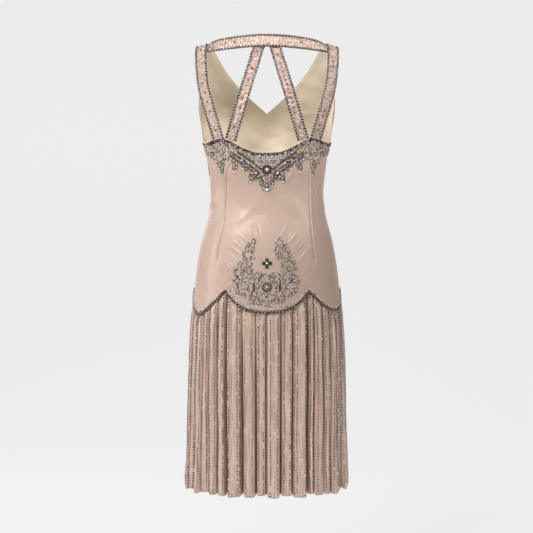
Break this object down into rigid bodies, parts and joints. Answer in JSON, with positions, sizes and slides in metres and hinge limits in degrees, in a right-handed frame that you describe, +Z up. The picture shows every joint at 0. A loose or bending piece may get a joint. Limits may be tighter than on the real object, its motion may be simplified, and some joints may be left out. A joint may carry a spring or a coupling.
{
  "type": "embellished dress",
  "caption": "Sleeveless beaded evening dress with an open strapped back, fitted bodice, scalloped hip seam and fluted knee-length skirt, hollow as worn.",
  "frame": {"origin": "midway between the tops of the two shoulder straps, where shoulders hold the dress up", "axes": "+Z up, -Y towards the dress's front, +X towards the wearer's left"},
  "size_m": [0.4262, 0.317, 1.1665],
  "materials": {
    "satin": "smooth blush satin with a soft sheen",
    "skirt_cloth": "matt blush crepe in loose folds",
    "lining": "matt beige lining",
    "beads": "silver and gunmetal glass beads"
  },
  "bodies": {
    "root": {"back_bodice": "satin", "front_bodice": "satin", "front_lining": "lining", "back_skirt": "skirt_cloth", "front_skirt": "skirt_cloth", "left_shoulder_strap": "satin", "right_shoulder_strap": "satin", "left_back_strap": "satin", "right_back_strap": "satin", "neck_band": "satin", "bust_beadwork": "beads", "hip_beadwork": "beads", "bust_jewel": "beads", "hip_jewel": "beads", "hip_flower": "beads"}
  },
  "joints": []
}
